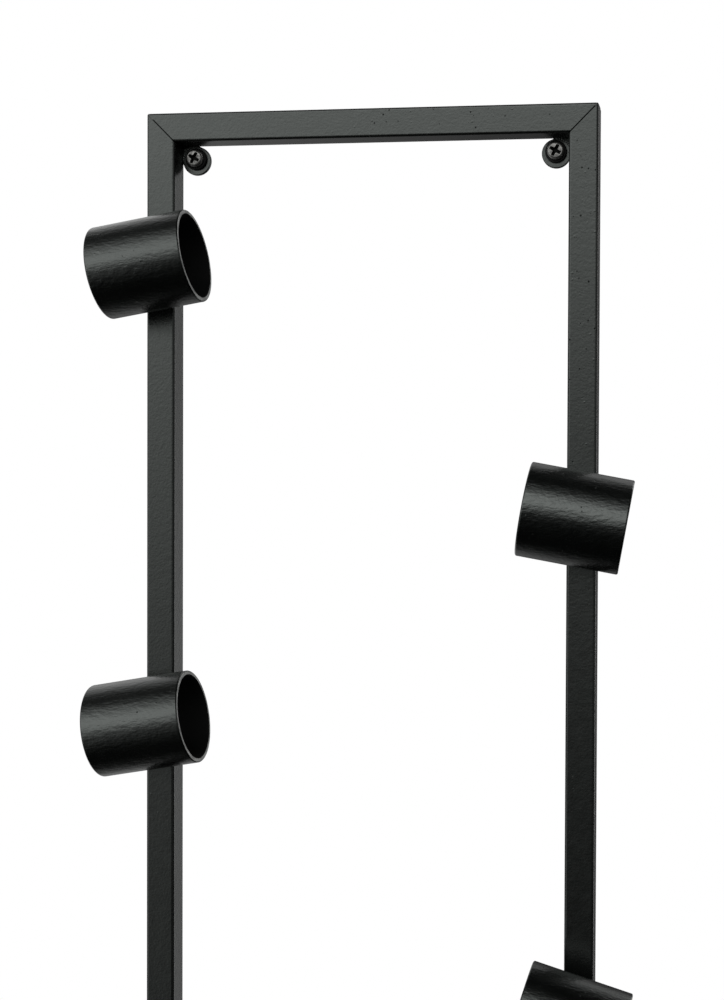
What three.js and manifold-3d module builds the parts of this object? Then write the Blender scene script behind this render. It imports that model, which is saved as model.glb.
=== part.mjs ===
// A wall rack: a welded portrait frame of mitred square steel tube, with short round tubes
// welded across its two uprights as holders, and a screwed tab in each inner corner.
// Millimetres. The origin is the middle of the top rail's back face, which lies on the wall.
// +X is right, +Z is up, and the room is on the -Y side of the wall plane y = 0.

import * as THREE from 'three';
import { mergeVertices } from 'three/addons/utils/BufferGeometryUtils.js';
import Module from 'manifold-3d';

// ---- Driving dimensions ----------------------------------------------------------------------

const GAP = 0.3; // clearance that stands for each welded or clamped contact

const FRAME_WIDTH = 315;
const FRAME_HEIGHT = 1050;
const TUBE_FACE = 20; // the side of the tube that faces the room
const TUBE_DEPTH = 20; // from the wall to the tube's front face
const TUBE_WALL = 1.5;
const TUBE_RADIUS = 1.8; // outer corner radius of the tube's section
const TUBE_BORE_RADIUS = 0.4;
const TIP_CUT = 3; // length lost from each outer edge where a mitre's tip is welded and ground
const TIP_RADIUS = 1.5; // radius that the frame's outer corners are ground to

const HOLDER_DIAMETER = 62.5;
const HOLDER_WALL = 3;

// Each holder: side of the frame, length, drop of its centre below the frame's top edge, how far
// its middle is from the upright's middle, to the right, its tilt in degrees, and how far its
// right end is turned towards the wall, in degrees. The inner end of every holder is the higher
// one. They were sawn and set by hand, so neither the lengths nor the spacing are even.
const HOLDERS = [
  { name: 'left_holder_1', side: -1, length: 65.8, drop: 109, shift: 3.6, tilt: 10, turn: 0 },
  { name: 'left_holder_2', side: -1, length: 68, drop: 420, shift: 2.2, tilt: 10, turn: 0 },
  { name: 'left_holder_3', side: -1, length: 67, drop: 736, shift: 2.6, tilt: 10, turn: 0 },
  { name: 'right_holder_1', side: 1, length: 68.2, drop: 277.5, shift: -1, tilt: 10.2, turn: 3.5 },
  { name: 'right_holder_2', side: 1, length: 69, drop: 610.5, shift: -2.8, tilt: 16.2, turn: 0 },
  { name: 'right_holder_3', side: 1, length: 67.5, drop: 931, shift: -2.4, tilt: 12, turn: 0 },
];

const BEAD_START = 5.6; // holder weld, from the line where the holder touches the upright
const BEAD_END = 11.6;
const BEAD_TOE = 0.4; // how much further the bead reaches along the upright than on the holder
const BEAD_LENGTH = 17;

const TAB_DIAMETER = 20;
const TAB_THICKNESS = 3;
const TAB_HOLE = 7.4;
const TAB_WELD_THICKNESS = 2.6;

const WASHER_DIAMETER = 15;
const WASHER_THICKNESS = 2;
const WASHER_HOLE = 5.8;

const SCREW_RISE = 0.9; // the rack hangs on its screws, so each shank sits high in its tab hole
const SHANK_DIAMETER = 5;
const SHANK_IN_WALL = 20;
const SHANK_POINT = 6; // length of the tapered point
const HEAD_DIAMETER = 11.7;
const HEAD_HEIGHT = 4.4;
const HEAD_FLANK = 2.2; // straight height of the head's side, below its rounded crown
const HEAD_CROWN = 8.8; // diameter where the crown turns flat
const RECESS_SPAN = 8.4; // tip to tip of the cross recess
const RECESS_ARM = 2;
const RECESS_DEPTH = 2.6;

// Where each frame corner is, the quarter turns that bring a top right corner there, and how far
// its screw is turned, in degrees.
const CORNERS = [
  { name: 'top_left', x: -1, z: 1, quarters: -1, screwTurn: 28 },
  { name: 'top_right', x: 1, z: 1, quarters: 0, screwTurn: 29 },
  { name: 'bottom_left', x: -1, z: -1, quarters: 2, screwTurn: 52 },
  { name: 'bottom_right', x: 1, z: -1, quarters: 1, screwTurn: 8 },
];

const CORNER_STEPS = 4; // curve steps in each small corner arc
const TAB_STEPS = 16; // curve steps in half of a tab's outline
const BEAD_STEPS = 4;
const CROWN_STEPS = 4;
const FASTENER_SIDES = 24;
const HOLDER_SIDES = 44;

// ---- Derived places --------------------------------------------------------------------------

const FRAME_TOP = TUBE_FACE / 2;
const FRAME_BOTTOM = FRAME_TOP - FRAME_HEIGHT;
const FRAME_MIDDLE = (FRAME_TOP + FRAME_BOTTOM) / 2;
const UPRIGHT_X = (FRAME_WIDTH - TUBE_FACE) / 2;
const HOLDER_RADIUS = HOLDER_DIAMETER / 2;
const HOLDER_Y = -(TUBE_DEPTH + GAP + HOLDER_RADIUS);
const TAB_RADIUS = TAB_DIAMETER / 2;
const TAB_INSET = TUBE_FACE + GAP + TAB_RADIUS; // tab centre from both outer sides of the frame
const WASHER_Y = -(TAB_THICKNESS + GAP + WASHER_THICKNESS / 2);
const HEAD_Y = -(TAB_THICKNESS + GAP + WASHER_THICKNESS + GAP); // the head's underside

// ---- Materials -------------------------------------------------------------------------------

const blackPaint = new THREE.MeshStandardMaterial({ color: 0x1c1d1c, roughness: 0.42, metalness: 0 });
const weldPaint = new THREE.MeshStandardMaterial({ color: 0x171817, roughness: 0.5, metalness: 0 });
const screwSteel = new THREE.MeshStandardMaterial({ color: 0x6f6e6a, roughness: 0.45, metalness: 0.9 });
const blackRubber = new THREE.MeshStandardMaterial({ color: 0x0b0b0b, roughness: 0.8, metalness: 0 });

// ---- Cutting ---------------------------------------------------------------------------------

const wasm = await Module();
wasm.setup();

function toSolid(geometry) {
  const bare = geometry.clone();
  bare.deleteAttribute('normal');
  bare.deleteAttribute('uv');
  const merged = mergeVertices(bare);
  const mesh = new wasm.Mesh({
    numProp: 3,
    vertProperties: merged.attributes.position.array,
    triVerts: merged.index.array,
  });
  return new wasm.Manifold(mesh);
}

function toGeometry(solid) {
  const mesh = solid.getMesh();
  const geometry = new THREE.BufferGeometry();
  geometry.setAttribute('position', new THREE.BufferAttribute(mesh.vertProperties, 3));
  geometry.setIndex(new THREE.BufferAttribute(mesh.triVerts, 1));
  return geometry;
}

// ---- Shared shapes ---------------------------------------------------------------------------

function roundedRectangle(path, x0, y0, x1, y1, radius) {
  const right = Math.PI / 2;
  path.absarc(x1 - radius, y0 + radius, radius, -right, 0, false);
  path.absarc(x1 - radius, y1 - radius, radius, 0, right, false);
  path.absarc(x0 + radius, y1 - radius, radius, right, 2 * right, false);
  path.absarc(x0 + radius, y0 + radius, radius, 2 * right, 3 * right, false);
  path.closePath();
  return path;
}

function extrude(shape, depth, curveSegments) {
  return new THREE.ExtrudeGeometry(shape, { depth, curveSegments, bevelEnabled: false });
}

// A shape drawn in the wall plane, made `thickness` deep from `back` towards the room.
function plateOnWall(shape, back, thickness, curveSegments) {
  return extrude(shape, thickness, curveSegments).rotateX(Math.PI / 2).translate(0, -back, 0);
}

// A solid of revolution about the Y axis, from [radius, y] pairs that run anticlockwise.
function turned(section, sides) {
  return new THREE.LatheGeometry(section.map(([radius, y]) => new THREE.Vector2(radius, y)), sides);
}

function ring(outer, inner, length, sides) {
  const half = length / 2;
  return turned([[inner, -half], [outer, -half], [outer, half], [inner, half], [inner, -half]], sides);
}

// ---- Frame tubes -----------------------------------------------------------------------------

// A hollow tube along X with both ends mitred at 45 degrees. Its outer side is at z = 0 and its
// shorter inner side at z = -TUBE_FACE, and its depth runs from the wall to the front face.
function mitredTube(length) {
  const section = roundedRectangle(new THREE.Shape(), -TUBE_FACE, 0, 0, TUBE_DEPTH, TUBE_RADIUS);
  const [low, high] = [TUBE_WALL - TUBE_FACE, -TUBE_WALL];
  const front = TUBE_DEPTH - TUBE_WALL;
  section.holes.push(roundedRectangle(new THREE.Path(), low, TUBE_WALL, high, front, TUBE_BORE_RADIUS));
  const tube = extrude(section, length, CORNER_STEPS);
  const points = tube.attributes.position;
  for (let i = 0; i < points.count; i += 1) {
    const across = points.getX(i);
    const depth = points.getY(i);
    const inset = GAP * Math.SQRT1_2 - across;
    const x = points.getZ(i) < length / 2 ? inset - length / 2 : length / 2 - inset;
    points.setXYZ(i, x, -depth, across);
  }
  return tube;
}

// The corner that is cut from both mitred tips: everything whose distances from the frame's two
// outer sides add up to less than `reach`. The frame's corner is at (0, 0).
function cornerPrism(reach) {
  const shape = new THREE.Shape();
  const margin = 1;
  shape.moveTo(margin, margin);
  shape.lineTo(-reach - margin, margin);
  shape.lineTo(margin, -reach - margin);
  shape.closePath();
  return plateOnWall(shape, -margin, TUBE_DEPTH + 2 * margin, 1);
}

function frameTube(length) {
  const cutter = cornerPrism(TIP_CUT + GAP * Math.SQRT2);
  const rightCutter = cutter.clone().translate(length / 2, 0, 0);
  const leftCutter = cutter.clone().rotateY(-Math.PI / 2).translate(-length / 2, 0, 0);
  const trimmed = toSolid(mitredTube(length)).subtract(toSolid(rightCutter)).subtract(toSolid(leftCutter));
  return toGeometry(trimmed);
}

// The weld that closes a mitre's tip, ground round. The frame's corner is at (0, 0), and its
// outer sides run away from it along -X and -Z.
function cornerWeld() {
  const shape = new THREE.Shape();
  shape.moveTo(-TIP_CUT, 0);
  shape.lineTo(0, -TIP_CUT);
  shape.absarc(-TIP_RADIUS, -TIP_RADIUS, TIP_RADIUS, 0, Math.PI / 2, false);
  shape.closePath();
  return plateOnWall(shape, TUBE_RADIUS / 3, TUBE_DEPTH - (2 * TUBE_RADIUS) / 3, CORNER_STEPS);
}

// ---- Holders ---------------------------------------------------------------------------------

function holderTube(length) {
  const inner = HOLDER_RADIUS - HOLDER_WALL;
  return ring(HOLDER_RADIUS, inner, length, HOLDER_SIDES).rotateZ(-Math.PI / 2);
}

// One fillet in the wedge between a holder and its upright. The holder's axis is X through the
// origin, the upright is towards +Y, and the bead is on the +Z side.
function holderBead() {
  const radius = HOLDER_RADIUS + GAP;
  const start = Math.asin(BEAD_START / radius);
  const end = Math.asin(BEAD_END / radius);
  const shape = new THREE.Shape();
  shape.moveTo(HOLDER_RADIUS, BEAD_START);
  for (let i = 0; i <= BEAD_STEPS; i += 1) {
    const angle = start + ((end - start) * i) / BEAD_STEPS;
    shape.lineTo(radius * Math.cos(angle), radius * Math.sin(angle));
  }
  shape.lineTo(HOLDER_RADIUS, BEAD_END + BEAD_TOE);
  shape.closePath();
  const bead = extrude(shape, BEAD_LENGTH, 1).translate(0, 0, -BEAD_LENGTH / 2);
  // The section's x points at the upright and its y away from the touch line, so x, y, z of the
  // extrusion turn into y, z, x of the holder.
  return bead.rotateX(Math.PI / 2).rotateZ(Math.PI / 2);
}

// ---- Mount tabs and fasteners ----------------------------------------------------------------

// Tabs and their welds are drawn with the tab's centre at (0, 0). The frame's inner corner is
// towards +X and +Z.
function mountTab() {
  const shape = new THREE.Shape();
  shape.absarc(0, 0, TAB_RADIUS, 0, Math.PI * 2, false);
  const hole = new THREE.Path();
  hole.absarc(0, 0, TAB_HOLE / 2, 0, Math.PI * 2, false);
  shape.holes.push(hole);
  return plateOnWall(shape, 0, TAB_THICKNESS, TAB_STEPS);
}

function tabWeld() {
  const shape = new THREE.Shape();
  const side = TAB_RADIUS; // leaves GAP to the frame, whose inner faces are GAP beyond the tab
  const radius = TAB_RADIUS + GAP;
  const start = Math.acos(side / radius);
  shape.moveTo(side, side);
  shape.lineTo(radius * Math.sin(start), side);
  shape.absarc(0, 0, radius, Math.PI / 2 - start, start, true);
  shape.closePath();
  const back = (TAB_THICKNESS - TAB_WELD_THICKNESS) / 2;
  return plateOnWall(shape, back, TAB_WELD_THICKNESS, TAB_STEPS);
}

// A prism in the shape of a cross, about the Y axis, reaching from `y` towards the room.
function crossPrism(y) {
  const reach = RECESS_SPAN / 2;
  const half = RECESS_ARM / 2;
  const centre = new THREE.Vector2();
  const outline = [];
  for (let arm = 0; arm < 4; arm += 1) {
    for (const [out, side] of [[reach, -half], [reach, half], [half, half]]) {
      outline.push(new THREE.Vector2(out, side).rotateAround(centre, (arm * Math.PI) / 2));
    }
  }
  return plateOnWall(new THREE.Shape(outline), -y, HEAD_HEIGHT, 1);
}

// A pan-head screw about the Y axis. The head's underside is at y = 0 and its face towards -Y,
// and the shank runs towards +Y, into the wall.
function wallScrew() {
  const headRadius = HEAD_DIAMETER / 2;
  const crownRadius = HEAD_CROWN / 2;
  const shankRadius = SHANK_DIAMETER / 2;
  const shankLength = SHANK_IN_WALL - HEAD_Y;
  const profile = [[0, -HEAD_HEIGHT]];
  for (let i = 0; i <= CROWN_STEPS; i += 1) {
    const angle = (i / CROWN_STEPS) * (Math.PI / 2);
    const radius = crownRadius + (headRadius - crownRadius) * Math.sin(angle);
    profile.push([radius, -HEAD_FLANK - (HEAD_HEIGHT - HEAD_FLANK) * Math.cos(angle)]);
  }
  profile.push([headRadius, 0]);
  profile.push([shankRadius, 0]);
  profile.push([shankRadius, shankLength - SHANK_POINT]);
  profile.push([0, shankLength]);
  const blank = toSolid(turned(profile, FASTENER_SIDES));
  return toGeometry(blank.subtract(toSolid(crossPrism(RECESS_DEPTH - HEAD_HEIGHT))));
}

// ---- Assembly --------------------------------------------------------------------------------

const rack = new THREE.Group();

function addMesh(parent, name, geometry, material) {
  const mesh = new THREE.Mesh(geometry, material);
  mesh.name = name;
  parent.add(mesh);
  return mesh;
}

// A group in the wall plane, turned about Y by a number of quarter turns.
function groupOnWall(x, z, quarters) {
  const group = new THREE.Group();
  group.position.set(x, 0, z);
  group.rotation.y = (quarters * Math.PI) / 2;
  rack.add(group);
  return group;
}

function addFrame() {
  const rail = frameTube(FRAME_WIDTH);
  const upright = frameTube(FRAME_HEIGHT);
  const half = FRAME_WIDTH / 2;
  addMesh(groupOnWall(0, FRAME_TOP, 0), 'top_rail', rail, blackPaint);
  addMesh(groupOnWall(0, FRAME_BOTTOM, 2), 'bottom_rail', rail, blackPaint);
  addMesh(groupOnWall(-half, FRAME_MIDDLE, -1), 'left_upright', upright, blackPaint);
  addMesh(groupOnWall(half, FRAME_MIDDLE, 1), 'right_upright', upright, blackPaint);
}

function addCorner({ name, x, z, quarters, screwTurn }) {
  const cornerX = (x * FRAME_WIDTH) / 2;
  const cornerZ = z > 0 ? FRAME_TOP : FRAME_BOTTOM;
  addMesh(groupOnWall(cornerX, cornerZ, quarters), `corner_weld_${name}`, cornerWeld(), weldPaint);

  const tabX = cornerX - x * TAB_INSET;
  const tabZ = cornerZ - z * TAB_INSET;
  const tabGroup = groupOnWall(tabX, tabZ, quarters);
  addMesh(tabGroup, `mount_tab_${name}`, mountTab(), blackPaint);
  addMesh(tabGroup, `tab_weld_${name}`, tabWeld(), weldPaint);

  const fastenerGroup = groupOnWall(tabX, tabZ + SCREW_RISE, 0);
  const washer = ring(WASHER_DIAMETER / 2, WASHER_HOLE / 2, WASHER_THICKNESS, FASTENER_SIDES);
  addMesh(fastenerGroup, `washer_${name}`, washer, blackRubber).position.y = WASHER_Y;
  const screw = addMesh(fastenerGroup, `wall_screw_${name}`, wallScrew(), screwSteel);
  screw.position.y = HEAD_Y;
  screw.rotation.y = THREE.MathUtils.degToRad(screwTurn);
}

function addHolder({ name, side, length, drop, shift, tilt, turn }) {
  const group = new THREE.Group();
  group.rotation.y = side * THREE.MathUtils.degToRad(tilt);
  group.rotation.z = THREE.MathUtils.degToRad(turn);
  // A turned holder stands off far enough to clear the upright's edge.
  const reach = TUBE_FACE / 2 / Math.cos(group.rotation.y);
  const standOff = reach * Math.sin(group.rotation.z);
  group.position.set(side * UPRIGHT_X + shift, HOLDER_Y - standOff, FRAME_TOP - drop);
  rack.add(group);
  addMesh(group, name, holderTube(length), blackPaint);
  // The welds stay on the upright, so they slide back along the holder by its shift.
  const along = -shift / Math.cos(group.rotation.y);
  addMesh(group, `${name}_upper_weld`, holderBead(), weldPaint).position.x = along;
  const lower = addMesh(group, `${name}_lower_weld`, holderBead(), weldPaint);
  lower.position.x = along;
  lower.rotation.y = Math.PI;
}

addFrame();
CORNERS.forEach(addCorner);
HOLDERS.forEach(addHolder);

export default rack;
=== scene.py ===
"""Looks for a black painted steel wall rack: mitred frame tubes, welded tube holders, screwed tabs.

Metres, +Z up, the wall is the plane y = 0 and the room is on its -Y side. Every piece is rebuilt
finely around the CAD node that it stands for, and all of them ride on the one rigid body.
"""

import math

import bmesh
import bpy
import numpy as np
from mathutils import Matrix, Vector, noise


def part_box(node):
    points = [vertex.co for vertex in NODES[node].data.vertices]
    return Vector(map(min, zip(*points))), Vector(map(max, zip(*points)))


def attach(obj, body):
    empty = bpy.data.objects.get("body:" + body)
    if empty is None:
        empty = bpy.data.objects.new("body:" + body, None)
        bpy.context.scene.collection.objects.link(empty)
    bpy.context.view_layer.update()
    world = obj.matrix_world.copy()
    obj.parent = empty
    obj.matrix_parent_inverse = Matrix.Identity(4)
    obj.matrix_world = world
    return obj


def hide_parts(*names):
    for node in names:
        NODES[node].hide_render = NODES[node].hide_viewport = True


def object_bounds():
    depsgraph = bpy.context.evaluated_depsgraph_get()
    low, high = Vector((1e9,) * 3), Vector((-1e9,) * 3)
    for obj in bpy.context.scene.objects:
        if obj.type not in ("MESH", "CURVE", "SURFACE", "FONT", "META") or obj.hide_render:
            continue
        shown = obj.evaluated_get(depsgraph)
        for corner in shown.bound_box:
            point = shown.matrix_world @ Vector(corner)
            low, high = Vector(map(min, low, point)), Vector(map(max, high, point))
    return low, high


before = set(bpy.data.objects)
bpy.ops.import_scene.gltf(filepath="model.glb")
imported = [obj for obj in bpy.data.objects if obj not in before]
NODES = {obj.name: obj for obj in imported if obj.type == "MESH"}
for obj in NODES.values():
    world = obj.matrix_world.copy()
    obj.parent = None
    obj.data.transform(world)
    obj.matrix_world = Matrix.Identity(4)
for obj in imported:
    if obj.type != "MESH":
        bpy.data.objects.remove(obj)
cad_low, cad_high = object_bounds()
BODY = "root"
MM = 0.001

# ---- Frame sizes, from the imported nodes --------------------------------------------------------

TOP_LOW, TOP_HIGH = (Vector(corner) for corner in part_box("top_rail"))
BOTTOM_LOW = Vector(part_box("bottom_rail")[0])
LEFT_LOW = Vector(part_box("left_upright")[0])
RIGHT_HIGH = Vector(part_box("right_upright")[1])
TUBE_FACE = TOP_HIGH.z - TOP_LOW.z
TUBE_DEPTH = TOP_HIGH.y - TOP_LOW.y
FRAME_WIDTH = RIGHT_HIGH.x - LEFT_LOW.x
FRAME_HEIGHT = TOP_HIGH.z - BOTTOM_LOW.z
FRAME_MIDDLE_Z = (TOP_HIGH.z + BOTTOM_LOW.z) / 2

TUBE_WALL = 1.5 * MM
TUBE_RADIUS = 1.8 * MM  # corners of the tube's section
TUBE_BORE_RADIUS = 0.4 * MM
TIP_RADIUS = 1.5 * MM  # the frame's outer corners, ground round
GROOVE = 0.42 * MM  # half width and depth of the V along each mitre
HOLD = 0.08 * MM  # from the end of a rounding to the point that keeps the flat beside it flat

CORNERS = {  # side, up or down, quarter turns from the top right, length of groove filled by weld
    "top_left": (-1, 1, -1, 3.4 * MM),
    "top_right": (1, 1, 0, 0.7 * MM),
    "bottom_left": (-1, -1, 2, 4.0 * MM),
    "bottom_right": (1, -1, 1, 3.0 * MM),
}
HOLDERS = sorted(name for name in NODES if "holder" in name and "weld" not in name)


# ---- Mesh helpers ------------------------------------------------------------------------------


def make_piece(name, points, faces, material, smooth_angle=40):
    """A mesh object with outward faces, smooth across edges flatter than smooth_angle degrees."""
    mesh = bpy.data.meshes.new(name)
    mesh.from_pydata([tuple(point) for point in points], [], faces)
    mesh.materials.append(material)
    work = bmesh.new()
    work.from_mesh(mesh)
    bmesh.ops.recalc_face_normals(work, faces=work.faces)
    for face in work.faces:
        face.smooth = True
    for edge in work.edges:
        edge.smooth = len(edge.link_faces) == 2 and edge.calc_face_angle(0) < math.radians(smooth_angle)
    work.to_mesh(mesh)
    work.free()
    piece = bpy.data.objects.new(name, mesh)
    bpy.context.scene.collection.objects.link(piece)
    return piece


def stand_in(piece, node):
    """Attaches a finished piece to the body and hides its CAD node, so that the piece is seen in its
    place.
    """
    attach(piece, BODY)
    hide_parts(node)


def grid_faces(rows, columns, close_rows=False):
    """Quads of a grid whose columns close on themselves, and whose rows may."""
    faces = []
    for row in range(rows if close_rows else rows - 1):
        upper = (row + 1) % rows
        for column in range(columns):
            after = (column + 1) % columns
            below, above = row * columns, upper * columns
            faces.append((below + column, below + after, above + after, above + column))
    return faces


def capped_faces(rows, columns):
    """A grid's quads and the two faces that close its first and last row."""
    faces = grid_faces(rows, columns)
    faces.append(tuple(range(columns)))
    faces.append(tuple((rows - 1) * columns + i for i in reversed(range(columns))))
    return faces


def arc(centre_x, centre_y, radius, start, end, steps):
    """Points of an arc, its angles in degrees, ends included."""
    angles = [math.radians(start + (end - start) * i / steps) for i in range(steps + 1)]
    return [(centre_x + radius * math.cos(a), centre_y + radius * math.sin(a)) for a in angles]


def held_corner(centre_x, centre_y, radius, start, steps):
    """A quarter turn from start, held by a point on the flat at each side so that flats shade flat."""
    turn = math.radians(start)
    forward = (-math.sin(turn) * HOLD, math.cos(turn) * HOLD)
    points = arc(centre_x, centre_y, radius, start, start + 90, steps)
    before = (points[0][0] - forward[0], points[0][1] - forward[1])
    after = (points[-1][0] - forward[1], points[-1][1] + forward[0])
    return [before] + points + [after]


def rounded_rectangle(low_x, low_y, high_x, high_y, radius, steps):
    """A rounded outline that runs anticlockwise from its lower right corner."""
    points = held_corner(high_x - radius, low_y + radius, radius, -90, steps)
    points += held_corner(high_x - radius, high_y - radius, radius, 0, steps)
    points += held_corner(low_x + radius, high_y - radius, radius, 90, steps)
    points += held_corner(low_x + radius, low_y + radius, radius, 180, steps)
    return points


def circle(radius, along, sides):
    """Points round the Y axis at one place along it."""
    angles = [2 * math.pi * side / sides for side in range(sides)]
    return [(radius * math.sin(a), along, radius * math.cos(a)) for a in angles]


def turned(profile, sides):
    """Points and faces of a closed profile of (radius, along) pairs turned about the Y axis."""
    points = [point for radius, along in profile for point in circle(radius, along, sides)]
    return points, grid_faces(len(profile), sides, close_rows=True)


def quarter_turn(quarters):
    return Matrix.Rotation(quarters * math.pi / 2, 4, "Y")


def placed(points, matrix):
    return [matrix @ Vector(point) for point in points]


def node_box(node):
    """The low corner, high corner and centre of a CAD node's box."""
    low, high = (Vector(corner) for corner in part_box(node))
    return low, high, (low + high) / 2


# ---- Materials ---------------------------------------------------------------------------------


class Nodes:
    """A short way to add and link shader nodes in one tree."""

    def __init__(self, tree):
        self.tree = tree

    def add(self, kind, inputs=None, **settings):
        node = self.tree.nodes.new(kind)
        for key, value in settings.items():
            setattr(node, key, value)
        for key, value in (inputs or {}).items():
            if isinstance(value, bpy.types.NodeSocket):
                self.tree.links.new(value, node.inputs[key])
            else:
                node.inputs[key].default_value = value
        return node

    def noise(self, vector, scale, detail=2.0, roughness=0.5):
        inputs = {"Vector": vector, "Scale": scale, "Detail": detail, "Roughness": roughness}
        return self.add("ShaderNodeTexNoise", inputs).outputs["Fac"]

    def cells(self, vector, scale):
        """Distance to the middle of the nearest cell."""
        return self.add("ShaderNodeTexVoronoi", {"Vector": vector, "Scale": scale}).outputs["Distance"]

    def math(self, operation, first, second=0.0):
        return self.add("ShaderNodeMath", {0: first, 1: second}, operation=operation).outputs[0]

    def remap(self, value, low, high, to_low, to_high):
        inputs = {0: value, 1: low, 2: high, 3: to_low, 4: to_high}
        return self.add("ShaderNodeMapRange", inputs).outputs[0]

    def ramp(self, value, stops):
        node = self.add("ShaderNodeValToRGB", {0: value})
        ramp = node.color_ramp
        while len(ramp.elements) < len(stops):
            ramp.elements.new(0.5)
        for element, (position, colour) in zip(ramp.elements, stops):
            element.position = position
            element.color = (*colour, 1)
        return node.outputs["Color"]

    def bump(self, height, distance, strength, normal=None):
        inputs = {"Height": height, "Distance": distance, "Strength": strength}
        if normal is not None:
            inputs["Normal"] = normal
        return self.add("ShaderNodeBump", inputs).outputs["Normal"]


def new_material(name):
    """A material with an empty shader, and the coordinates that its patterns are made on."""
    material = bpy.data.materials.new(name)
    material.use_nodes = True
    tree = material.node_tree
    tree.nodes.clear()
    nodes = Nodes(tree)
    shader = nodes.add("ShaderNodeBsdfPrincipled")
    nodes.add("ShaderNodeOutputMaterial", {"Surface": shader.outputs[0]})
    where = nodes.add("ShaderNodeTexCoord").outputs["Object"]
    return material, nodes, shader, where


def link(nodes, shader, sockets):
    for key, value in sockets.items():
        nodes.tree.links.new(value, shader.inputs[key])


PAINT_TINT = (0.93, 1.0, 0.955, 1)  # its reflections are a little green
GLOSS_SPREAD = 0.03
PIT_CLUSTER = (0.147, -0.02, -0.13)  # on the right upright, where the paint is pitted most


def pits_and_dust(nodes, where, pit_level):
    """How deep a pit is and how high a dust nib is, 0 to 1, both in patches and round one cluster."""
    patches = nodes.noise(where, 17.0, 2.0)
    away = nodes.add("ShaderNodeVectorMath", {0: where, 1: PIT_CLUSTER}, operation="DISTANCE")
    crowd = nodes.remap(away.outputs["Value"], 0.06, 0.26, 0.95, 0.0)
    pitted = nodes.math("MAXIMUM", crowd, nodes.remap(patches, 0.44, 0.68, 0.0, 0.9))
    scatter = nodes.remap(nodes.noise(where, 110.0, 1.0), 0.42, 0.56, 0.0, pit_level)
    pit_size = nodes.math("MULTIPLY", pitted, scatter)
    pit = nodes.remap(nodes.math("SUBTRACT", pit_size, nodes.cells(where, 230.0)), 0.0, 0.09, 0.0, 1.0)
    dusty = nodes.math("MAXIMUM", crowd, nodes.remap(patches, 0.50, 0.60, 0.0, 1.0))
    nib = nodes.math("MULTIPLY", nodes.remap(nodes.cells(where, 150.0), 0.06, 0.13, 1.0, 0.0), dusty)
    return pit, nib


def satin_paint(name, roughness, peel_strength, ripple_strength, pit_level, stretch=1.0):
    """Black satin paint on steel: orange peel, longer ripples, pits and dust nibs, and cloudy gloss.

    A stretch below 1 draws the ripples out along X.
    """
    material, nodes, shader, where = new_material(name)
    cloud = nodes.noise(where, 22.0, 3.0)
    colour = nodes.ramp(cloud, [(0.3, (0.0010, 0.0012, 0.0011)), (0.7, (0.0019, 0.0022, 0.0020))])
    gloss = nodes.noise(where, 160.0, 3.0, 0.6)
    rough = nodes.remap(gloss, 0.25, 0.75, roughness - GLOSS_SPREAD, roughness + GLOSS_SPREAD)
    shader.inputs["Specular Tint"].default_value = PAINT_TINT

    drawn = nodes.add("ShaderNodeMapping", {"Vector": where, "Scale": (stretch, 1.0, 1.0)}).outputs[0]
    ripple = nodes.noise(drawn, 330.0, 2.0, 0.6)
    peel = nodes.noise(drawn, 640.0, 2.0, 0.6)
    pit, nib = pits_and_dust(nodes, where, pit_level)
    shine = nodes.remap(pit, 0.0, 1.0, 0.5, 0.12)

    normal = nodes.bump(ripple, 0.8 * MM, ripple_strength)
    normal = nodes.bump(peel, 0.3 * MM, peel_strength, normal)
    normal = nodes.bump(nodes.math("SUBTRACT", 1.0, pit), 0.3 * MM, 0.7, normal)
    normal = nodes.bump(nib, 0.15 * MM, 0.5, normal)
    sockets = {"Base Color": colour, "Roughness": rough, "Specular IOR Level": shine, "Normal": normal}
    link(nodes, shader, sockets)
    return material


def bore_paint(name):
    """Dull black with a fine grit: dry overspray inside a tube, and painted shade in a screw's recess.
    """
    material, nodes, shader, where = new_material(name)
    patch = nodes.noise(where, 90.0, 3.0)
    colour = nodes.ramp(patch, [(0.3, (0.0012, 0.0013, 0.0012)), (0.7, (0.0026, 0.0027, 0.0025))])
    grit = nodes.noise(where, 1400.0, 2.0)
    rough = nodes.remap(patch, 0.3, 0.7, 0.7, 0.82)
    shader.inputs["Specular IOR Level"].default_value = 0.12
    normal = nodes.bump(grit, 0.1 * MM, 0.5)
    link(nodes, shader, {"Base Color": colour, "Roughness": rough, "Normal": normal})
    return material


def rim_highlight_paint(name):
    """Thin paint on a sawn tube end, coloured lighter in patches as a painted highlight of its bright
    edge, with a fine grain.
    """
    material, nodes, shader, where = new_material(name)
    shader.inputs["Metallic"].default_value = 0.5
    highlight_patches = nodes.noise(where, 130.0, 4.0, 0.6)
    colour = nodes.ramp(highlight_patches, [(0.35, (0.09, 0.092, 0.088)), (0.7, (0.30, 0.306, 0.296))])
    grain = nodes.noise(where, 1500.0, 2.0)
    rough = nodes.remap(highlight_patches, 0.3, 0.7, 0.28, 0.4)
    normal = nodes.bump(grain, 0.06 * MM, 0.4)
    link(nodes, shader, {"Base Color": colour, "Roughness": rough, "Normal": normal})
    return material


def screw_plate(name):
    """Dull plated steel with darker, rougher stains, lighter worn places and a fine grain."""
    material, nodes, shader, where = new_material(name)
    shader.inputs["Metallic"].default_value = 0.85
    stain = nodes.noise(where, 420.0, 4.0, 0.65)
    stops = [(0.32, (0.05, 0.05, 0.048)), (0.5, (0.13, 0.13, 0.124)), (0.7, (0.22, 0.217, 0.208))]
    colour = nodes.ramp(stain, stops)
    grain = nodes.noise(where, 2600.0, 2.0)
    rough = nodes.remap(stain, 0.3, 0.7, 0.56, 0.36)
    normal = nodes.bump(stain, 0.1 * MM, 0.35)
    normal = nodes.bump(grain, 0.04 * MM, 0.4, normal)
    link(nodes, shader, {"Base Color": colour, "Roughness": rough, "Normal": normal})
    return material


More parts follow.
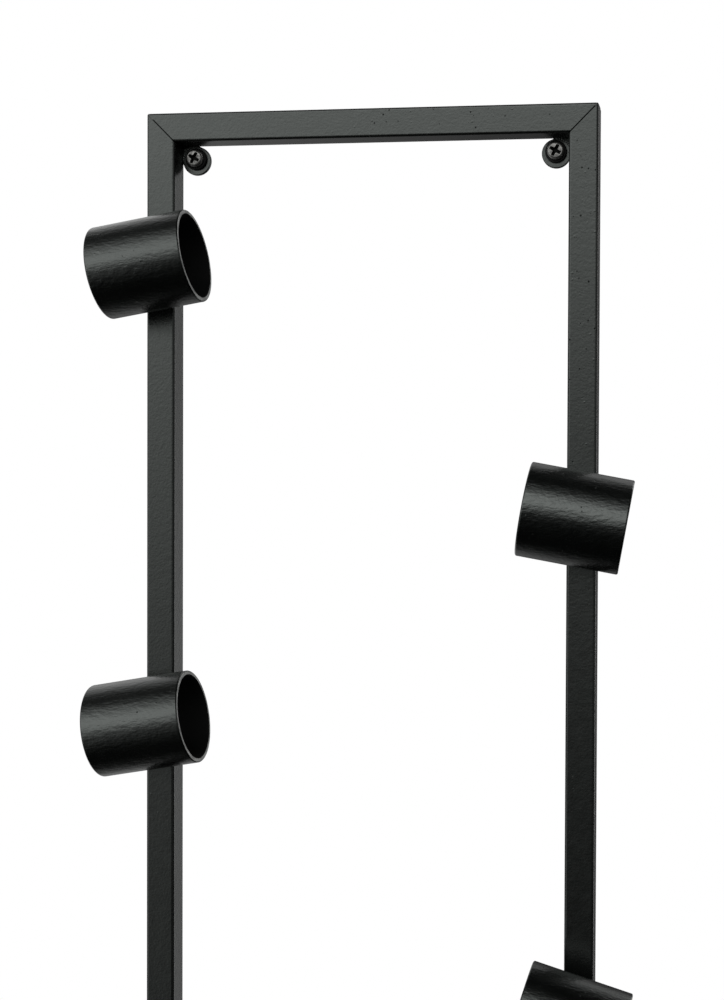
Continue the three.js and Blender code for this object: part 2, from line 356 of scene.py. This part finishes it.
def rubber(name):
    """Matt black rubber with a fine moulded grain and a little dust."""
    material, nodes, shader, where = new_material(name)
    dust = nodes.noise(where, 300.0, 3.0, 0.7)
    colour = nodes.ramp(dust, [(0.4, (0.0020, 0.0020, 0.0020)), (0.75, (0.0050, 0.0050, 0.0048))])
    shader.inputs["Specular IOR Level"].default_value = 0.18
    grain = nodes.noise(where, 3200.0, 1.0)
    rough = nodes.remap(dust, 0.3, 0.7, 0.62, 0.78)
    normal = nodes.bump(grain, 0.05 * MM, 0.5)
    link(nodes, shader, {"Base Color": colour, "Roughness": rough, "Normal": normal})
    return material


PAINT = satin_paint(
    "satin_black_paint", roughness=0.27, peel_strength=0.22, ripple_strength=0.09, pit_level=0.19
)
HOLDER_PAINT = satin_paint(
    "glossier_black_paint",
    roughness=0.23,
    peel_strength=0.42,
    ripple_strength=0.3,
    pit_level=0.2,
    stretch=0.45,
)
WELD_PAINT = satin_paint(
    "satin_black_paint_on_weld", roughness=0.33, peel_strength=0.4, ripple_strength=0.3, pit_level=0.1
)
# painted highlight for the holders' sawn ends
RIM_HIGHLIGHT_PAINT = rim_highlight_paint("painted_highlight_on_cut_edge")
BORE_PAINT = bore_paint("dry_overspray")
SCREW_STEEL = screw_plate("dull_plated_steel")
# near-black painted shade for the screws' recesses
RECESS_SHADE_PAINT = bore_paint("painted_shade_in_recess")
RUBBER = rubber("black_rubber")

# ---- Camera ------------------------------------------------------------------------------------

CAMERA_PLACE = Vector((0.2516, -1.0870, -0.2345))
CAMERA_YAW = math.radians(-7.777)  # from straight at the wall; positive turns to the right
CAMERA_PITCH = math.radians(-1.176)
CAMERA_ROLL = math.radians(0.315)
CAMERA_LENS = 57.35  # millimetres
SENSOR_HEIGHT = 36  # millimetres
CAMERA_SHIFT_X = -0.158  # the picture keeps the left part of what the lens saw
CLIP_START = 0.01


def make_camera():
    forward = Vector(
        (
            math.sin(CAMERA_YAW) * math.cos(CAMERA_PITCH),
            math.cos(CAMERA_YAW) * math.cos(CAMERA_PITCH),
            math.sin(CAMERA_PITCH),
        )
    )
    right = Vector((math.cos(CAMERA_YAW), -math.sin(CAMERA_YAW), 0))
    up = right.cross(forward)
    rolled_right = right * math.cos(CAMERA_ROLL) + up * math.sin(CAMERA_ROLL)
    rolled_up = up * math.cos(CAMERA_ROLL) - right * math.sin(CAMERA_ROLL)
    data = bpy.data.cameras.new("camera")
    data.sensor_fit = "VERTICAL"
    data.sensor_height = SENSOR_HEIGHT
    data.lens = CAMERA_LENS
    data.clip_start = CLIP_START
    data.shift_x = CAMERA_SHIFT_X
    camera = bpy.data.objects.new("camera", data)
    rotation = Matrix((rolled_right, rolled_up, -forward)).transposed().to_4x4()
    camera.matrix_world = Matrix.Translation(CAMERA_PLACE) @ rotation
    bpy.context.scene.collection.objects.link(camera)
    bpy.context.scene.camera = camera


# ---- Light, sky and floor ----------------------------------------------------------------------


# Soft lights of the room and of the pale wall behind the rack. Azimuth 0 is straight off the wall
# and negative is to the left. Past 90 the light comes from the wall's side. A larger focus is a
# smaller patch of light.
ROOM_LEVEL = 0.004
SOFT_LIGHTS = [  # azimuth, elevation, focus, level
    (-50, 26, 21, 3.6),
    (-30, 13, 28, 3.1),
    (-12, 24, 22, 1.8),
    (-12, 47, 22, 1.1),
    (6, 27, 20, 4.4),
    (50, 8, 20, 0.95),
    (-44, -14, 24, 2.0),
    (-143, 44, 11, 0.8),
    (-143, 20, 12, 0.8),
    (-130, -32, 11, 1.6),
    (146, 28, 55, 3.0),
    (146, 10, 70, 1.7),
    (146, -6, 70, 2.7),
    (146, -24, 60, 1.9),
    (170, 46, 13, 0.32),
    (158, 38, 25, 0.65),
    (92, 4, 30, 0.35),
    (-92, 4, 30, 0.6),
]


def light_direction(azimuth, elevation):
    turn, rise = math.radians(azimuth), math.radians(elevation)
    return Vector((math.sin(turn) * math.cos(rise), -math.cos(turn) * math.cos(rise), math.sin(rise)))


def make_sky():
    """White behind the object, and for light a dim room with a few broad soft patches of light."""
    world = bpy.data.worlds.new("studio")
    bpy.context.scene.world = world
    world.use_nodes = True
    tree = world.node_tree
    tree.nodes.clear()
    nodes = Nodes(tree)
    direction = nodes.add("ShaderNodeTexCoord").outputs["Generated"]
    level = ROOM_LEVEL
    for azimuth, elevation, focus, strength in SOFT_LIGHTS:
        towards = light_direction(azimuth, elevation)
        near = nodes.add("ShaderNodeVectorMath", {0: direction, 1: towards}, operation="DOT_PRODUCT")
        falloff = nodes.math("MULTIPLY", nodes.math("SUBTRACT", near.outputs["Value"], 1.0), focus)
        patch = nodes.math("MULTIPLY", nodes.math("EXPONENT", falloff), strength)
        level = nodes.math("ADD", patch, level)
    lit = nodes.add("ShaderNodeBackground", {"Strength": level})
    plain = nodes.add("ShaderNodeBackground", {"Color": (1, 1, 1, 1), "Strength": 1.0})
    seen = nodes.add("ShaderNodeLightPath").outputs["Is Camera Ray"]
    mix = nodes.add("ShaderNodeMixShader", {0: seen, 1: lit.outputs[0], 2: plain.outputs[0]})
    nodes.add("ShaderNodeOutputWorld", {"Surface": mix.outputs[0]})


FLOOR_GAP = 0.06  # below the rack's lowest point
FLOOR_RADIUS = 0.75
FLOOR_Y = -0.05
FLOOR_SIDES = 128


def make_floor():
    material, nodes, shader, where = new_material("pale_floor")
    mottle = nodes.noise(where, 6.0, 3.0)
    colour = nodes.ramp(mottle, [(0.3, (0.87, 0.87, 0.86)), (0.7, (0.93, 0.93, 0.92))])
    shader.inputs["Roughness"].default_value = 0.7
    link(nodes, shader, {"Base Color": colour})
    bpy.ops.mesh.primitive_circle_add(vertices=FLOOR_SIDES, radius=FLOOR_RADIUS, fill_type="NGON")
    floor = bpy.context.object
    floor.name = "floor"
    floor.location = (0, FLOOR_Y, cad_low[2] - FLOOR_GAP)
    floor.data.materials.append(material)
    floor.visible_glossy = False


# ---- Frame tubes -------------------------------------------------------------------------------

SECTION_STEPS = 7
TIP_STEPS = 7
TIP_REACH = 12 * MM  # where a tube's end stations begin, beyond the tip's rounding
MITRE_LEAD = 0.02 * MM * math.sqrt(2)  # keeps two mitres just clear of each other


def end_path(across, inset):
    """(along, across) points of one section point, from the tube's middle part to its mitre."""
    path = []
    lead = inset + MITRE_LEAD
    if across < TIP_RADIUS:
        reach = TIP_RADIUS - across
        path.append((TIP_RADIUS + TIP_REACH, across))
        for step in range(TIP_STEPS + 1):
            angle = math.radians(45 * step / TIP_STEPS)
            along = TIP_RADIUS - reach * math.sin(angle) + lead
            path.append((along, TIP_RADIUS - reach * math.cos(angle)))
    else:
        path.append((across + TIP_REACH, across))
        for step in range(TIP_STEPS + 1):
            path.append((across + TIP_RADIUS * (1 - step / TIP_STEPS) + lead, across))
    return path


def tube_section(inset, radius):
    """The tube's outline, or one that is inset all round: (across, depth) points."""
    return rounded_rectangle(inset, inset, TUBE_FACE - inset, TUBE_DEPTH - inset, radius, SECTION_STEPS)


def mirrored(ring, length):
    """A ring of (along, across, depth) at a tube's left end, moved to its right end."""
    return [(length - along, across, depth) for along, across, depth in ring]


def mitred_tube(length):
    """A hollow tube along X, its outer side at z = 0, its wall side at y = 0, with mitred ends.

    Rings of points run from the left mitre to the right one on the outside, and back in the bore.
    """
    outer = tube_section(0, TUBE_RADIUS)
    lip = tube_section(GROOVE, TUBE_RADIUS - GROOVE)
    bore = tube_section(TUBE_WALL, TUBE_BORE_RADIUS)
    paths = [end_path(across, GROOVE * math.sqrt(2)) for across, _ in outer]
    left_end = [[(*end_path(across, 0)[-1], depth) for across, depth in lip]]
    for station in range(TIP_STEPS + 1, -1, -1):
        left_end.append([(*path[station], depth) for path, (_, depth) in zip(paths, outer)])
    bore_end = [(across + MITRE_LEAD, across, depth) for across, depth in bore]
    rings = left_end + [mirrored(ring, length) for ring in reversed(left_end)]
    rings += [mirrored(bore_end, length), bore_end]
    points = [(along - length / 2, -depth, -across) for ring in rings for along, across, depth in ring]
    return points, grid_faces(len(rings), len(outer), close_rows=True)


def make_tubes():
    half_width = FRAME_WIDTH / 2
    centre_x = (LEFT_LOW.x + RIGHT_HIGH.x) / 2
    places = {
        "top_rail": (FRAME_WIDTH, (centre_x, TOP_HIGH.z), 0),
        "bottom_rail": (FRAME_WIDTH, (centre_x, BOTTOM_LOW.z), 2),
        "left_upright": (FRAME_HEIGHT, (centre_x - half_width, FRAME_MIDDLE_Z), -1),
        "right_upright": (FRAME_HEIGHT, (centre_x + half_width, FRAME_MIDDLE_Z), 1),
    }
    for node, (length, (x, z), quarters) in places.items():
        points, faces = mitred_tube(length)
        place = Matrix.Translation((x, 0, z)) @ quarter_turn(quarters)
        stand_in(make_piece(f"{node}_tube", placed(points, place), faces, PAINT), node)


# ---- Welds at the mitres' tips -----------------------------------------------------------------

WELD_HALF_WIDTH = 0.75 * MM
WELD_PROUD = 0.07 * MM
WELD_ROOT = 0.5 * MM
WELD_STEP = 0.25 * MM
WELD_TURN_STEPS = 8
WELD_TAPER = 4  # rows over which each end of the weld swells to its full size
WELD_WOBBLE = 0.8  # how unevenly it stands proud
WELD_SECTION = [  # half widths across the seam, and height over it
    (-1, 0.0),
    (-0.55, 0.8),
    (0, 1.0),
    (0.55, 0.8),
    (1, 0.0),
    (0.45, -1.0),
    (-0.45, -1.0),
]


def mitre_outline(fill):
    """Points on a mitre's surface, around its tip: (across, depth, normal across, normal depth)."""
    path = []
    flat_steps = max(2, int(fill / WELD_STEP))
    for i in range(flat_steps):
        path.append((TUBE_RADIUS + fill * (1 - i / flat_steps), 0.0, 0.0, -1.0))
    for i in range(WELD_TURN_STEPS + 1):
        angle = math.radians(90 * i / WELD_TURN_STEPS)
        across = TUBE_RADIUS * (1 - math.sin(angle))
        depth = TUBE_RADIUS * (1 - math.cos(angle))
        path.append((across, depth, -math.sin(angle), -math.cos(angle)))
    flat_depth = TUBE_DEPTH - 2 * TUBE_RADIUS
    depth_steps = int(flat_depth / (WELD_STEP * 2))
    for i in range(1, depth_steps):
        path.append((0.0, TUBE_RADIUS + flat_depth * i / depth_steps, -1.0, 0.0))
    return path


def make_tip_weld(name, side, up, quarters, fill):
    """A run of weld, ground nearly flush, along a mitre's groove round the frame's corner."""
    outline = mitre_outline(fill)
    points = []
    for index, (across, depth, normal_across, normal_depth) in enumerate(outline):
        # Distance from the frame's corner along each side, on the mitre itself.
        inward = TIP_RADIUS - (TIP_RADIUS - across) / math.sqrt(2) if across < TIP_RADIUS else across
        end = min(index, len(outline) - 1 - index)
        swell = min(1.0, (end + 0.5) / WELD_TAPER)
        wobble = noise.noise(Vector((index * 0.23, side * 3.1, up * 1.7)))  # its own in each corner
        for width, height in WELD_SECTION:
            rise = WELD_PROUD * swell * (1 + WELD_WOBBLE * wobble) if height > 0 else WELD_ROOT
            spread = WELD_HALF_WIDTH * width * swell
            bend = -normal_across * spread * spread / (2 * TIP_RADIUS) if height >= 0 else 0.0
            out = rise * height - bend
            diagonal = inward + normal_across * out / math.sqrt(2)
            y = -(TUBE_DEPTH - depth) + normal_depth * out
            points.append((-diagonal + spread / math.sqrt(2), y, -diagonal - spread / math.sqrt(2)))
    faces = capped_faces(len(outline), len(WELD_SECTION))
    corner_x = RIGHT_HIGH.x if side > 0 else LEFT_LOW.x
    corner_z = TOP_HIGH.z if up > 0 else BOTTOM_LOW.z
    place = Matrix.Translation((corner_x, 0, corner_z)) @ quarter_turn(quarters)
    piece = make_piece(f"{name}_bead", placed(points, place), faces, WELD_PAINT, smooth_angle=60)
    stand_in(piece, name)


# ---- Holders -----------------------------------------------------------------------------------

HOLDER_SIDES = 192
HOLDER_WALL = 3 * MM
RIM_OUTER_EASE = 1.2 * MM
RIM_INNER_EASE = 0.6 * MM
RIM_STEPS = 6
RIM_HIGHLIGHT_ROWS = 3  # rows beside the flat of the rim that get its painted highlight too


def holder_frame(node):
    """The place, length and radius of a holder, measured on its CAD node. Its X is the axis."""
    points = np.array([tuple(vertex.co) for vertex in NODES[node].data.vertices])
    low, high = points.min(axis=0), points.max(axis=0)
    centre = (low + high) / 2
    _, directions = np.linalg.eigh(np.cov((points - centre).T))
    axis = Vector(directions[:, 2])
    if axis.x < 0:
        axis.negate()
    along = (points - centre) @ np.array(axis)
    across = (points - centre) - np.outer(along, np.array(axis))
    up = axis.cross(Vector((0, 1, 0))).normalized()
    turn = Matrix((axis, up.cross(axis), up)).transposed().to_4x4()
    radius = np.linalg.norm(across, axis=1).max()
    return Matrix.Translation(Vector(centre)) @ turn, along.max() - along.min(), radius


def holder_profile(radius, half_length):
    """A holder's wall in section, its outer edges eased more than those of the bore."""
    outer, inner = radius - RIM_OUTER_EASE, radius - HOLDER_WALL + RIM_INNER_EASE
    outer_end, inner_end = half_length - RIM_OUTER_EASE, half_length - RIM_INNER_EASE
    points = held_corner(outer, -outer_end, RIM_OUTER_EASE, -90, RIM_STEPS)
    points += held_corner(outer, outer_end, RIM_OUTER_EASE, 0, RIM_STEPS)
    points += held_corner(inner, inner_end, RIM_INNER_EASE, 90, RIM_STEPS)
    points += held_corner(inner, -inner_end, RIM_INNER_EASE, 180, RIM_STEPS)
    return points


def make_holder(node):
    place, length, radius = holder_frame(node)
    profile = holder_profile(radius, length / 2)
    points, faces = turned(profile, HOLDER_SIDES)
    along_x = Matrix.Rotation(-math.pi / 2, 4, "Z")
    piece = make_piece(f"{node}_tube", placed(points, place @ along_x), faces, HOLDER_PAINT)
    piece.data.materials.append(RIM_HIGHLIGHT_PAINT)
    piece.data.materials.append(BORE_PAINT)
    rows = len(profile)
    for face in piece.data.polygons:
        row = face.index // HOLDER_SIDES
        from_rim = min(abs(row - (rows // 2 - 1)), (row + 1) % rows, rows - 1 - row)
        # the rims and the rows beside them take the painted highlight
        if from_rim <= RIM_HIGHLIGHT_ROWS:
            face.material_index = 1
        elif row > rows // 2:
            face.material_index = 2
    stand_in(piece, node)


BEAD_RIPPLE = 1.5 * MM  # length of one ripple
BEAD_RIPPLE_HEIGHT = 0.16 * MM
BEAD_WOBBLE = 0.5 * MM
BEAD_BITE = 0.25 * MM  # how far a bead runs into the metal on both sides
BEAD_HALF_LENGTH = 9.2 * MM
BEAD_START = 4.5 * MM  # from the line where the holder touches the upright
BEAD_END = 11.6 * MM
BEAD_END_TAPER = 0.35  # of its full reach, left at each end
BEAD_CROWN = 0.10
BEAD_ROWS = 76
BEAD_COLUMNS = 9


def make_holder_weld(holder, which):
    """A rippled fillet in the wedge between a holder and its upright's front face."""
    node = f"{holder}_{which}_weld"
    place, _, radius = holder_frame(holder)
    local = place.inverted() @ node_box(node)[2]
    direction = 1 if which == "upper" else -1
    lean = place.col[0].y  # how fast the axis nears the wall
    root_y = math.sqrt(radius**2 - BEAD_START**2)
    points = []
    for row in range(BEAD_ROWS):
        t = row / (BEAD_ROWS - 1)
        along = local.x + (2 * t - 1) * BEAD_HALF_LENGTH
        face_y = LEFT_LOW.y + BEAD_BITE - place.translation.y - along * lean
        phase = (t * 2 * BEAD_HALF_LENGTH / BEAD_RIPPLE) % 1.0
        ripple = BEAD_RIPPLE_HEIGHT * math.sin(math.pi * phase) ** 0.6
        fullness = math.sqrt(max(0.0, 1 - (2 * t - 1) ** 6))  # falls to 0 at both ends
        wobble = BEAD_WOBBLE * noise.noise(Vector((t * 7, local.x * 90, local.z * 90 + direction)))
        taper = BEAD_END_TAPER + (1 - BEAD_END_TAPER) * fullness
        toe = BEAD_START + (BEAD_END + wobble - BEAD_START) * taper
        shell_y = math.sqrt(radius**2 - min(toe, radius) ** 2) - BEAD_BITE
        for column in range(BEAD_COLUMNS):
            u = column / (BEAD_COLUMNS - 1)
            swell = math.sin(math.pi * u)
            height = toe * (1 + BEAD_CROWN * swell * fullness) + ripple * swell
            points.append((along, shell_y + (face_y - shell_y) * u, direction * height))
        points.append((along, (root_y + face_y) / 2, direction * BEAD_START))
    faces = capped_faces(BEAD_ROWS, BEAD_COLUMNS + 1)
    piece = make_piece(f"{node}_bead", placed(points, place), faces, WELD_PAINT, smooth_angle=60)
    stand_in(piece, node)


# ---- Mount tabs --------------------------------------------------------------------------------

TAB_HOLE_RADIUS = 3.7 * MM
TAB_EASE = 0.45 * MM
TAB_EASE_STEPS = 4
TAB_SIDES = 112


def make_tab(name):
    node = f"mount_tab_{name}"
    low, high, centre = node_box(node)
    radius = (high.x - low.x) / 2
    profile = rounded_rectangle(TAB_HOLE_RADIUS, low.y, radius, high.y, TAB_EASE, TAB_EASE_STEPS)
    points, faces = turned(profile, TAB_SIDES)
    place = Matrix.Translation((centre.x, 0, centre.z))
    stand_in(make_piece(f"{node}_disc", placed(points, place), faces, PAINT), node)


TAB_WELD_FLARE = 24  # degrees that the weld runs past each touch, along the tab's edge
TAB_WELD_ROWS = 100
TAB_WELD_BITE = 0.3 * MM
TAB_WELD_RIPPLE = 0.18 * MM
TAB_WELD_THINNING = 0.55  # of the tab's thickness, at the ends of the weld
TAB_WELD_LEAST = 0.02  # of its full reach, at the ends too
TAB_WELD_CROWN = 0.35 * MM
TAB_WELD_FRONT = 0.25 * MM  # its edges are this far behind the tab's face
TAB_WELD_BACK = 0.15 * MM  # and this far in front of the tab's back


def make_tab_weld(name, quarters):
    """Weld between a tab and both inner faces of its corner, with a small flare past each touch."""
    tab_low, tab_high, centre = node_box(f"mount_tab_{name}")
    offset = FRAME_WIDTH / 2 - TUBE_FACE - abs(centre.x)  # tab centre to the upright's inner face
    inner = (tab_high.x - tab_low.x) / 2 - TAB_WELD_BITE * 2
    back = tab_high.y - TAB_WELD_BACK
    points = []
    for row in range(TAB_WELD_ROWS):
        degrees = -TAB_WELD_FLARE + (90 + 2 * TAB_WELD_FLARE) * row / (TAB_WELD_ROWS - 1)
        angle = math.radians(degrees)
        outside = max(-degrees, degrees - 90, 0.0) / TAB_WELD_FLARE
        reach = (offset + TAB_WELD_BITE) / max(math.cos(angle), math.sin(angle))
        outer = inner + (reach - inner) * max(TAB_WELD_LEAST, 1 - outside**1.5)
        ripple = TAB_WELD_RIPPLE * abs(math.sin(degrees * 0.35))
        thick = (tab_high.y - tab_low.y) * (1 - TAB_WELD_THINNING * outside) + ripple
        front = tab_high.y - thick + TAB_WELD_FRONT
        crown = front - TAB_WELD_CROWN * (1 - outside)
        middle = (inner + outer) / 2
        section = [(inner, front), (middle, crown), (outer, front), (outer, back), (inner, back)]
        for distance, y in section:
            points.append((distance * math.cos(angle), y, distance * math.sin(angle)))
    faces = capped_faces(TAB_WELD_ROWS, len(section))
    place = Matrix.Translation((centre.x, 0, centre.z)) @ quarter_turn(quarters)
    node = f"tab_weld_{name}"
    piece = make_piece(f"{node}_bead", placed(points, place), faces, WELD_PAINT, smooth_angle=60)
    stand_in(piece, node)


# ---- Washers and screws ------------------------------------------------------------------------

WASHER_HOLE_RADIUS = 2.9 * MM
WASHER_EASE = 0.7 * MM
WASHER_EASE_STEPS = 5
WASHER_SIDES = 96
WASHER_TO_HEAD = 0.15 * MM  # pressed up against the screw's head
WASHER_TO_TAB = 0.2 * MM  # and against the tab


def make_washer(name):
    node = f"washer_{name}"
    low, high, centre = node_box(node)
    radius = (high.x - low.x) / 2
    front, back = low.y - WASHER_TO_HEAD, high.y + WASHER_TO_TAB
    profile = rounded_rectangle(WASHER_HOLE_RADIUS, front, radius, back, WASHER_EASE, WASHER_EASE_STEPS)
    points, faces = turned(profile, WASHER_SIDES)
    place = Matrix.Translation((centre.x, 0, centre.z))
    stand_in(make_piece(f"{node}_ring", placed(points, place), faces, RUBBER), node)


SCREW_SIDES = 64
HEAD_HEIGHT = 4.4 * MM
HEAD_FLANK = 2.0 * MM
HEAD_CROWN_RADIUS = 4.4 * MM
HEAD_DOME = 0.12 * MM  # how much the flat of the head is domed
HEAD_STEPS = 8
CROWN_STEPS = 12
HEAD_EDGE = [(0.0, -0.4), (-0.12, -0.1), (-0.4, 0.0)]  # past the head's radius, and along, in mm
SHANK_ROOT = [(0.5, 0.0), (0.1, 0.15), (0.0, 0.6)]  # past the shank's radius, and along, in mm
SHANK_RADIUS = 2.5 * MM
SHANK_STEPS = 220
THREAD_PITCH = 2.2 * MM
THREAD_DEPTH = 0.7 * MM
THREAD_START = 6 * MM  # plain shank under the head
THREAD_RUNOUT = 2 * MM
THREAD_FLANK = 0.28  # half width of the thread's ridge, in pitches
POINT_LENGTH = 6 * MM
POINT_BLUNT = 0.01  # of the shank's radius, left at the very point
RECESS_TURN = {"top_left": 28, "top_right": 29, "bottom_left": 52, "bottom_right": 8}  # degrees


def head_profile(head_radius):
    """(radius, along) points from the middle of a screw's head to the plain shank under it."""
    rows = [(0.02 * MM, -HEAD_HEIGHT)]
    for i in range(1, HEAD_STEPS + 1):
        part = i / HEAD_STEPS
        rows.append((HEAD_CROWN_RADIUS * part, -HEAD_HEIGHT + HEAD_DOME * part**2))
    for i in range(1, CROWN_STEPS + 1):
        angle = math.radians(90 * i / CROWN_STEPS)
        radius = HEAD_CROWN_RADIUS + (head_radius - HEAD_CROWN_RADIUS) * math.sin(angle)
        rows.append((radius, -HEAD_FLANK - (HEAD_HEIGHT - HEAD_DOME - HEAD_FLANK) * math.cos(angle)))
    rows += [(head_radius + out * MM, along * MM) for out, along in HEAD_EDGE]
    rows += [(SHANK_RADIUS + out * MM, along * MM) for out, along in SHANK_ROOT]
    return rows


def thread_radius(along, part, total):
    """The radius of a threaded shank at a place along it and a part of a turn round it."""
    turn = (along / THREAD_PITCH - part) % 1.0
    ridge = max(0.0, 1 - abs(turn - 0.5) / THREAD_FLANK)
    fade = min(1.0, max(0.0, (along - THREAD_START) / THREAD_RUNOUT))
    taper = min(1.0, (total - along) / POINT_LENGTH)
    return (SHANK_RADIUS + THREAD_DEPTH * fade * (ridge - 1)) * max(taper, POINT_BLUNT)


def screw_mesh(head_radius, total):
    """A pan-head screw about Y. The head's underside is at y = 0 and its point at y = total."""
    rows = head_profile(head_radius)
    points = [point for radius, along in rows for point in circle(radius, along, SCREW_SIDES)]
    start = THREAD_START / 2
    for step in range(SHANK_STEPS):
        along = start + (total - start) * step / (SHANK_STEPS - 1)
        for side in range(SCREW_SIDES):
            part = side / SCREW_SIDES
            radius = thread_radius(along, part, total)
            angle = 2 * math.pi * part
            points.append((radius * math.sin(angle), along, radius * math.cos(angle)))
    return points, capped_faces(len(rows) + SHANK_STEPS, SCREW_SIDES)


RECESS_LEVELS = [  # depth below the head's face, reach of each arm and half its width, in mm
    (-0.6, 4.3, 0.98),
    (0.1, 4.15, 0.93),
    (1.6, 3.2, 0.8),
    (3.0, 1.7, 0.62),
]
RECESS_ROOT = 1.3  # how far the arms' inner corners are from the middle, in half widths


def recess_cutter(place):
    """A tapered cross, from just outside a screw's face down into its head."""
    points = []
    for depth, reach, half in RECESS_LEVELS:
        root = half * RECESS_ROOT
        for arm in range(4):
            turn = Matrix.Rotation(math.radians(-90 * arm), 3, "Y")
            for x, z in ((reach, -half), (reach, half), (root, root)):
                points.append(turn @ Vector((x, depth, z)) * MM - Vector((0, HEAD_HEIGHT, 0)))
    faces = capped_faces(len(RECESS_LEVELS), 12)
    return make_piece("recess_cutter", placed(points, place), faces, RECESS_SHADE_PAINT)


def make_screw(name):
    node = f"wall_screw_{name}"
    low, high, centre = node_box(node)
    head_radius = (high.z - low.z) / 2
    total = high.y - low.y - HEAD_HEIGHT
    turn = Matrix.Rotation(math.radians(RECESS_TURN[name]), 4, "Y")
    place = Matrix.Translation((centre.x, low.y + HEAD_HEIGHT, centre.z)) @ turn
    points, faces = screw_mesh(head_radius, total)
    mesh_points = placed(points, place)
    piece = make_piece(f"{node}_pan_head", mesh_points, faces, SCREW_STEEL, smooth_angle=50)
    cutter = recess_cutter(place)
    cut = piece.modifiers.new("recess", "BOOLEAN")
    cut.operation = "DIFFERENCE"
    cut.object = cutter
    cut.solver = "EXACT"
    # the recess's faces take the cutter's painted shade
    cut.material_mode = "TRANSFER"
    bpy.context.view_layer.objects.active = piece
    bpy.ops.object.modifier_apply(modifier=cut.name)
    bpy.data.objects.remove(cutter)
    stand_in(piece, node)


# ---- Build -------------------------------------------------------------------------------------

make_camera()
make_sky()
make_floor()
make_tubes()
for corner, (side, up, quarters, fill) in CORNERS.items():
    make_tip_weld(f"corner_weld_{corner}", side, up, quarters, fill)
    make_tab(corner)
    make_tab_weld(corner, quarters)
    make_washer(corner)
    make_screw(corner)
for holder in HOLDERS:
    make_holder(holder)
    make_holder_weld(holder, "upper")
    make_holder_weld(holder, "lower")

bpy.context.scene.view_settings.view_transform = "Standard"
